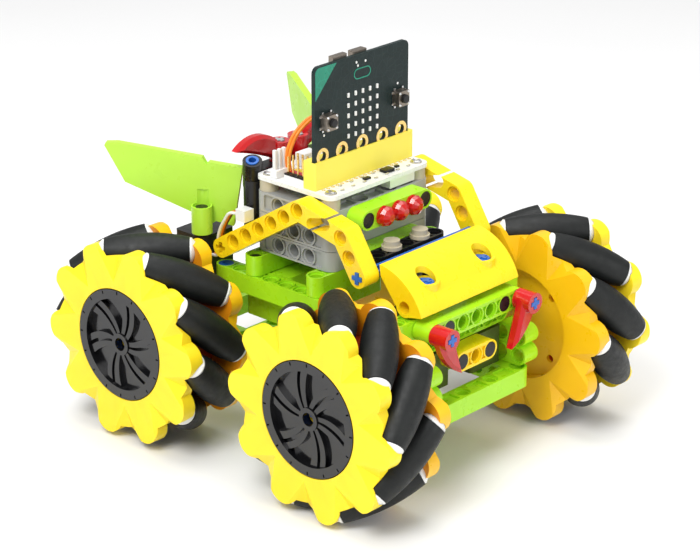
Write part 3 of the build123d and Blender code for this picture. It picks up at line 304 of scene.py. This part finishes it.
class Piece:
    """A mesh of bevelled and turned shapes that rides on one body."""

    def __init__(self):
        self.mesh = bmesh.new()

    def block(self, centre, size, bevel=0.12):
        verts = bmesh.ops.create_cube(self.mesh, size=1.0)["verts"]
        bmesh.ops.scale(self.mesh, vec=size, verts=verts)
        bmesh.ops.translate(self.mesh, vec=centre, verts=verts)
        edges = list({edge for vert in verts for edge in vert.link_edges})
        bmesh.ops.bevel(self.mesh, geom=edges, offset=bevel, segments=2, profile=0.7, affect="EDGES")
        return self

    def turned(self, centre, profile, axis=(0, 0, 1)):
        """Round shape about axis, from a closed outline of (radius, height) points."""
        turn = Vector((0, 0, 1)).rotation_difference(Vector(axis)).to_matrix()
        rings = []
        for step in range(ROUND_STEPS):
            angle = 2 * math.pi * step / ROUND_STEPS
            ring = [Vector((r * math.cos(angle), r * math.sin(angle), h)) for r, h in profile]
            rings.append([self.mesh.verts.new(Vector(centre) + turn @ point) for point in ring])
        for here, there in zip(rings, rings[1:] + rings[:1]):
            for k in range(len(profile)):
                nxt = (k + 1) % len(profile)
                if profile[k][0] > 0 or profile[nxt][0] > 0:
                    self.mesh.faces.new((here[k], there[k], there[nxt], here[nxt]))
        return self

    def plate(self, outline, origin, facing, thick):
        """Flat shape from (across, up) points, standing thick proud of origin's plane."""
        across, up = facing
        out = across.cross(up)
        verts = [self.mesh.verts.new(Vector(origin) + across * u + up * v) for u, v in outline]
        face = self.mesh.faces.new(verts)
        grown = bmesh.ops.extrude_face_region(self.mesh, geom=[face])["geom"]
        tops = [item for item in grown if isinstance(item, bmesh.types.BMVert)]
        bmesh.ops.translate(self.mesh, vec=out * thick, verts=tops)
        return self

    def band(self, outer, inner, origin, facing, thick):
        """Flat closed strip between two outlines with the same number of points."""
        across, up = facing
        out = across.cross(up)
        loops = []
        for outline, rise in ((outer, 0), (outer, thick), (inner, thick), (inner, 0)):
            base = Vector(origin) + out * rise
            loops.append([self.mesh.verts.new(base + across * u + up * v) for u, v in outline])
        for near, far in zip(loops, loops[1:] + loops[:1]):
            for k in range(len(outer)):
                nxt = (k + 1) % len(outer)
                self.mesh.faces.new((near[k], near[nxt], far[nxt], far[k]))
        return self

    def done(self, name, body, slot, look):
        bmesh.ops.remove_doubles(self.mesh, verts=self.mesh.verts, dist=0.0005)
        bmesh.ops.recalc_face_normals(self.mesh, faces=self.mesh.faces)
        bmesh.ops.scale(self.mesh, vec=(MM, MM, MM), verts=self.mesh.verts)
        data = bpy.data.meshes.new(name)
        self.mesh.to_mesh(data)
        self.mesh.free()
        data.shade_smooth()
        data.set_sharp_from_angle(angle=math.radians(35))
        data.materials.append(look)
        made = bpy.data.objects.new(name, data)
        bpy.context.collection.objects.link(made)
        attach(made, body)
        return made


def ring_profile(inner, outer, thick, edge=0.06):
    rim = thick - edge
    return (inner, 0), (inner, rim), (inner + edge, thick), (outer - edge, thick), (outer, rim), (outer, 0)


def cross_outline(reach, half):
    arm = ((-half, -reach), (half, -reach), (half, -half))
    outline = []
    for _ in range(4):
        outline += arm
        arm = tuple((-v, u) for u, v in arm)
    return outline


def in_mm(corner):
    return Vector(corner) / MM


# Controller board
CARD_LOW, CARD_HIGH = (in_mm(corner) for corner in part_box("controller_board"))
CARD_FRONT = CARD_LOW.y
CARD_BACK = CARD_HIGH.y
CARD_HALF = CARD_HIGH.x
CARD_TOP = CARD_HIGH.z
SKIN = 0.05  # thickness of printed marks
LED_PITCH = 4.0
LED_CENTRE_Z = CARD_TOP - 22.4
RING_Z = CARD_TOP - 35.0
RING_X = (-21.9, -11.3, 0, 11.3, 21.9)
BUTTON_X = 20.0
BUTTON_Z = CARD_TOP - 21.6
CASE_FACE = CARD_FRONT - 3.42
MAIN_CHIP_X = 7.0
MAIN_CHIP_Z = CARD_TOP - 17.6
MAIN_CHIP_LEG = 3.25  # from the chip's middle to its legs
LEG_PITCH = 0.8
CHIPS = (  # across, down from the top edge, width, height, depth
    (MAIN_CHIP_X, CARD_TOP - MAIN_CHIP_Z, 6.0, 6.0, 0.9),
    (-6.5, 14.6, 4.0, 4.0, 0.8),
    (15.0, 9.6, 3.0, 3.0, 0.8),
    (-16.0, 23.6, 3.4, 2.4, 0.9),
    (0.0, 27.6, 2.6, 3.2, 0.8),
)
CAPACITORS = (  # across, down from the top edge
    (-20.5, 15.6),
    (-20.5, 19.1),
    (19.5, 15.1),
    (19.5, 25.6),
    (12.0, 29.6),
    (-12.5, 29.6),
)
DOTS = (  # across, down from the top edge
    (-BUTTON_X - 1.0, 27.0),
    (BUTTON_X, 16.2),
    (-3.2, 2.8),
    (-2.4, 4.2),
    (1.8, 3.2),
)
BOTH = (-1, 1)
FORWARD = (0, -1, 0)
BACKWARD = (0, 1, 0)


def card_leds():
    """Five by five lamps."""
    leds = Piece()
    for row in range(-2, 3):
        for column in range(-2, 3):
            centre = (column * LED_PITCH, CARD_FRONT - 0.32, LED_CENTRE_Z + row * LED_PITCH)
            leds.block(centre, (0.85, 0.6, 1.7))
    leds.done("card_leds", "card", "white_plastic", WHITE)


def card_ring_contacts():
    """Plated rings round the five holes, on both faces."""
    contacts = Piece()
    outline = ring_profile(1.9, 3.3, 0.12)
    for x in RING_X:
        contacts.turned((x, CARD_FRONT, RING_Z), outline, FORWARD)
        contacts.turned((x, CARD_BACK, RING_Z), outline, BACKWARD)
    contacts.done("card_ring_contacts", "card", "bright_steel", GOLD)


def card_corner_patch():
    """Plain patch of colour in the upper corner, rounded like the board."""
    margin = 0.4
    edge = CARD_HALF - margin
    top = CARD_TOP - margin
    width = 11.5
    height = 12.5
    round_in = 2.2
    patch = [(-edge, top - height), (-edge + width, top), (-edge + round_in, top)]
    for degrees_round in (22, 45, 68):
        turn = math.radians(degrees_round)
        patch.append((-edge + round_in * (1 - math.sin(turn)), top - round_in * (1 - math.cos(turn))))
    patch.append((-edge, top - round_in))
    art = Piece().plate(patch, (0, CARD_FRONT, 0), TO_FRONT, SKIN)
    art.done("card_corner_patch", "card", "dark_board", TEAL)


def card_oval_pad():
    """Plain oval outline."""
    reach = 2.6  # half the straight part
    half = 2.1
    wide = 0.42
    arc = [math.radians(angle) for angle in range(-90, 91, 15)]
    outer = [(reach + half * math.cos(angle), half * math.sin(angle)) for angle in arc]
    outer += [(-u, -v) for u, v in outer]
    inner = [(u * (1 - wide / (reach + half)), v * (1 - wide / half)) for u, v in outer]
    pad = Piece().band(outer, inner, (0, CARD_FRONT, CARD_TOP - 7.4), TO_FRONT, 2 * SKIN)
    pad.done("card_oval_pad", "card", "white_board", TEAL)


def card_dots():
    """Small round test points."""
    dots = Piece()
    for x, down in DOTS:
        dots.turned((x, CARD_FRONT, CARD_TOP - down), ((0, 0), (0, 0.1), (0.4, 0.1), (0.5, 0)), FORWARD)
    dots.done("card_dots", "card", "white_plastic", WHITE)


def button_case_legs():
    """Bent legs beside each button's case, and the rivets on its face."""
    legs = Piece()
    rivet = ((0, 0), (0, 0.3), (0.35, 0.28), (0.55, 0))
    for side in BOTH:
        x = side * BUTTON_X
        for across in BOTH:
            for up in BOTH:
                legs.block((x + across * 3.35, CARD_FRONT - 0.35, BUTTON_Z + up * 2.2), (1.1, 0.5, 0.9))
                legs.turned((x + across * 2.3, CASE_FACE, BUTTON_Z + up * 2.3), rivet, FORWARD)
                legs.block((x + across * 2.2, CARD_FRONT - 0.4, BUTTON_Z + up * 3.5), (0.9, 0.5, 0.9))
    legs.done("button_case_legs", "card", "bright_steel", STEEL)


def card_chips():
    """Chips on the back."""
    chips = Piece()
    for x, down, width, height, depth in CHIPS:
        chips.block((x, CARD_BACK + depth / 2, CARD_TOP - down), (width, depth, height), 0.15)
    chips.done("card_chips", "card", "black_plastic", BLACK)


def card_pins():
    """The main chip's legs and the capacitors' metal ends."""
    pins = Piece()
    leg_y = CARD_BACK + 0.12
    for k in range(-3, 4):
        along = k * LEG_PITCH
        for side in BOTH:
            out = side * MAIN_CHIP_LEG
            pins.block((MAIN_CHIP_X + out, leg_y, MAIN_CHIP_Z + along), (0.5, 0.2, 0.36), 0.04)
            pins.block((MAIN_CHIP_X + along, leg_y, MAIN_CHIP_Z + out), (0.36, 0.2, 0.5), 0.04)
    for x, down in CAPACITORS:
        for side in BOTH:
            pins.block((x + side * 0.75, CARD_BACK + 0.3, CARD_TOP - down), (0.45, 0.62, 0.9), 0.06)
    pins.done("card_pins", "card", "bright_steel", STEEL)


def card_capacitors():
    bodies = Piece()
    for x, down in CAPACITORS:
        bodies.block((x, CARD_BACK + 0.3, CARD_TOP - down), (1.1, 0.56, 0.84), 0.06)
    bodies.done("card_capacitors", "card", "beige_plastic", BEIGE)


card_leds()
card_ring_contacts()
card_corner_patch()
card_oval_pad()
card_dots()
button_case_legs()
card_chips()
card_pins()
card_capacitors()

# Expansion board
BOARD_LOW, BOARD_HIGH = (in_mm(corner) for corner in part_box("expansion_board"))
BOARD_TOP = BOARD_HIGH.z
CORNER_IN = 4.0  # stand-offs from the board's edges
STAND_X = BOARD_HIGH.x - CORNER_IN
STAND_Y = (BOARD_LOW.y + CORNER_IN, BOARD_HIGH.y - CORNER_IN)
STRIP_Y = BOARD_LOW.y + 5.0  # middle of the strip before the connector
CHIP_X = 8.5
PIN_PITCH = 2.54
HEADER_X = -22.2
HEADER_Y = 4.2
HEADER_TOP = BOARD_TOP + 2.55
SOCKET_AT = (-23.2, 14.2)
REAR_SOCKET_X = (-6.0, 6.0, 16.0)


def board_screws():
    """Cross-head screws in the four stand-offs."""
    screws = Piece()
    head = ((0.8, 0), (0.8, 0.35), (1.5, 0.62), (2.0, 0.4), (2.1, 0))
    for x in (-STAND_X, STAND_X):
        for y in STAND_Y:
            screws.turned((x, y, BOARD_TOP + 0.32), head)
            screws.plate(cross_outline(0.78, 0.2), (x, y, BOARD_TOP + 0.34), TO_TOP, 0.12)
    screws.done("board_screws", "chassis", "bright_steel", STEEL)


def board_chips():
    chips = Piece()
    chips.block((CHIP_X, STRIP_Y, BOARD_TOP + 0.6), (5.0, 3.4, 1.1), 0.15)
    chips.block((-3.5, STRIP_Y - 0.4, BOARD_TOP + 0.45), (3.0, 1.7, 0.8), 0.12)
    chips.block((14.5, STRIP_Y + 0.4, BOARD_TOP + 0.4), (1.8, 1.3, 0.7), 0.1)
    chips.done("board_chips", "chassis", "black_plastic", BLACK)


def board_capacitors():
    """A loose double row of capacitors with metal ends, and the chip's legs."""
    ends = Piece()
    bodies = Piece()
    rng = random.Random(7)
    z = BOARD_TOP + 0.3
    for k in range(13):
        x = -19.0 + k * 3.1
        y = STRIP_Y + (1.9 if k % 2 else -2.2) + rng.uniform(-0.3, 0.3)
        bodies.block((x, y, z), (0.9, 0.7, 0.5), 0.06)
        for side in BOTH:
            ends.block((x + side * 0.62, y, z), (0.4, 0.76, 0.56), 0.05)
    for side in BOTH:
        for k in range(-2, 3):
            ends.block((CHIP_X + k * 0.9, STRIP_Y + side * 2.1, BOARD_TOP + 0.14), (0.4, 0.9, 0.2), 0.04)
    bodies.done("board_capacitors", "chassis", "beige_plastic", BEIGE)
    ends.done("board_solder_ends", "chassis", "bright_steel", STEEL)


def board_pads():
    """Row of plated pads along the connector's foot."""
    pads = Piece()
    first_x = -23.3
    for k in range(20):
        pads.turned((first_x + k * PIN_PITCH, -8.7, BOARD_TOP), ring_profile(0.35, 0.75, 0.09, 0.03))
    pads.done("board_pads", "chassis", "bright_steel", GOLD)


def header_strips():
    """Yellow, red and black rows of header blocks, and their pins."""
    rows = [HEADER_Y + (k - 1.5) * PIN_PITCH for k in range(4)]
    for name, column, look in (("yellow", 1, YELLOW), ("red", 0, RED), ("black", -1, BLACK)):
        strip = Piece()
        for y in rows:
            centre = (HEADER_X + column * PIN_PITCH, y, HEADER_TOP + 0.35)
            strip.block(centre, (2.45, 2.45, 0.7), 0.3)
        strip.done(f"header_strip_{name}", "chassis", f"{name}_plastic", look)
    pins = Piece()
    for column in (-1, 0, 1):
        for y in rows:
            centre = (HEADER_X + column * PIN_PITCH, y, HEADER_TOP + 3.6)
            pins.block(centre, (0.64, 0.64, 7.2), 0.2)
    pins.done("header_pins", "chassis", "bright_steel", GOLD)


def white_sockets():
    """Tall-pinned socket beside the header, and three sockets at the back."""
    socket = Piece()
    x, y = SOCKET_AT
    socket.block((x, y, BOARD_TOP + 1.6), (7.0, 3.4, 3.1), 0.3)
    for shift in (-2.4, 0, 2.4):
        socket.block((x + shift, y, BOARD_TOP + 7.0), (1.3, 1.5, 8.0), 0.3)
    socket.done("white_socket", "chassis", "white_plastic", WHITE)
    back = Piece()
    for x in REAR_SOCKET_X:
        back.block((x, 16.4, BOARD_TOP + 2.6), (7.6, 5.0, 5.1), 0.35)
        back.block((x, 19.2, BOARD_TOP + 3.1), (5.0, 0.8, 3.2), 0.2)
    back.done("rear_sockets", "chassis", "white_plastic", WHITE)


board_screws()
board_chips()
board_capacitors()
board_pads()
header_strips()
white_sockets()

# Cross axle ends in the fangs and horns
FANG_X = 24.0
FANG_Z = 62.0
HORN_X = 5.2
HORN_Y = 31.8
HORN_STUB = 6.5
HORN_TUBE = 8.0
SOCKET_DEPTH = 2.0
CROSS_END = cross_outline(2.2, 0.78)


def cross_ends():
    for side_name, side in SIDES:
        tip_y = in_mm(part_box(f"fang_{side_name}")[0]).y
        end = Piece().plate(CROSS_END, (side * FANG_X, tip_y + 1.3, FANG_Z), TO_FRONT, 1.5)
        end.done(f"fang_axle_end_{side_name}", f"fang_{side_name}", "blue_plastic", BLUE)
        low_z = in_mm(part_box(f"horn_{side_name}")[0]).z
        floor_z = low_z + HORN_STUB + HORN_TUBE - SOCKET_DEPTH + 0.1
        peg = Piece().plate(CROSS_END, (side * HORN_X, HORN_Y, floor_z), TO_TOP, SOCKET_DEPTH + 0.3)
        peg.done(f"horn_axle_end_{side_name}", f"horn_{side_name}", "grey_plastic", GREY)


cross_ends()


def hood_pins():
    """Blue pin heads that stand in the hood's two wells."""
    heads = Piece()
    foot_z = in_mm(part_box("hood")[1]).z - 9.6
    head = ((1.0, 0), (1.0, 2.6), (1.2, 2.9), (3.0, 2.9), (3.3, 2.6), (3.3, 0))
    for _, side in SIDES:
        x, y = side * 16.0, -53.0
        heads.turned((x, y, foot_z), head)
        heads.plate(cross_outline(2.4, 0.75), (x, y, foot_z + 2.8), TO_TOP, 0.5)
    heads.done("hood_pin_heads", "chassis", "blue_plastic", BLUE)


hood_pins()


def motor_trim():
    """Seams round the gear motors and screws in the rear pair's back faces."""
    back_y = in_mm(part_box("gear_motors")[1]).y
    rear_x = 29.2
    rear_y = 49.6
    front_x = 15.0
    front_z = 41.6
    seam_wide = 17.9
    seam_deep = 15.3
    screw = ((0.6, 0), (0.6, 0.35), (1.2, 0.5), (1.5, 0.3), (1.6, 0))
    bands = Piece()
    screws = Piece()
    for _, side in SIDES:
        for z in (55.0, 58.0, 66.0):
            bands.block((side * rear_x, rear_y, z), (seam_wide, seam_deep, 0.8))
        for x in (23.4, 35.0):
            for z in (38.0, 50.0, 72.0):
                screws.turned((side * x, back_y, z), screw, BACKWARD)
                screws.plate(cross_outline(0.58, 0.16), (side * x, back_y, z), TO_BACK, 0.12)
        for y in (-46.0, -43.0, -32.0):
            bands.block((side * front_x, y, front_z), (seam_wide, 0.8, seam_deep))
    bands.done("motor_seams", "chassis", "dark_plastic", MOTOR)
    screws.done("motor_screws", "chassis", "bright_steel", STEEL)


motor_trim()


# ---------------------------------------------------------------- stage, light and camera
def stage():
    mesh = bpy.data.meshes.new("floor")
    build = bmesh.new()
    bmesh.ops.create_grid(build, x_segments=4, y_segments=4, size=4.0)
    build.to_mesh(mesh)
    build.free()
    floor = bpy.data.objects.new("floor", mesh)
    bpy.context.collection.objects.link(floor)
    s = Shader("floor")
    s.link(s.ramp(s.noise(3, 2), (0.3, (0.86, 0.86, 0.86)), (0.7, (0.9, 0.9, 0.9))), "Base Color")
    s.put(Roughness=0.6, Specular_IOR_Level=0.2)
    mesh.materials.append(s.mat)


def area_light(name, place, target, size, power):
    data = bpy.data.lights.new(name, "AREA")
    data.shape = "RECTANGLE"
    data.size, data.size_y = size
    data.energy = power
    light = bpy.data.objects.new(name, data)
    light.location = place
    light.rotation_euler = (Vector(target) - Vector(place)).to_track_quat("-Z", "Y").to_euler()
    bpy.context.collection.objects.link(light)


def camera():
    data = bpy.data.cameras.new("camera")
    data.sensor_width = 36.0
    data.lens = 125.17
    data.shift_x = -0.0031
    data.shift_y = 0.0012
    data.clip_start = 0.01
    eye = bpy.data.objects.new("camera", data)
    eye.location = (-0.64444, -0.59310, 0.41428)
    eye.rotation_euler = (math.radians(90 - 22.12), 0, math.radians(-47.46))
    bpy.context.collection.objects.link(eye)
    bpy.context.scene.camera = eye


stage()
camera()
world = bpy.data.worlds.new("world")
world.use_nodes = True
world.node_tree.nodes["Background"].inputs["Color"].default_value = (1, 1, 1, 1)
world.node_tree.nodes["Background"].inputs["Strength"].default_value = 0.52
bpy.context.scene.world = world
area_light("key", (-0.7, -0.2, 0.9), (0, 0, 0.06), (0.5, 0.5), 9)
area_light("front", (0.2, -1.1, 0.5), (0, 0, 0.06), (0.7, 0.4), 3.2)
area_light("top", (0.1, 0.1, 1.2), (0, 0, 0), (0.9, 0.9), 8)
bpy.context.scene.view_settings.view_transform = "Standard"
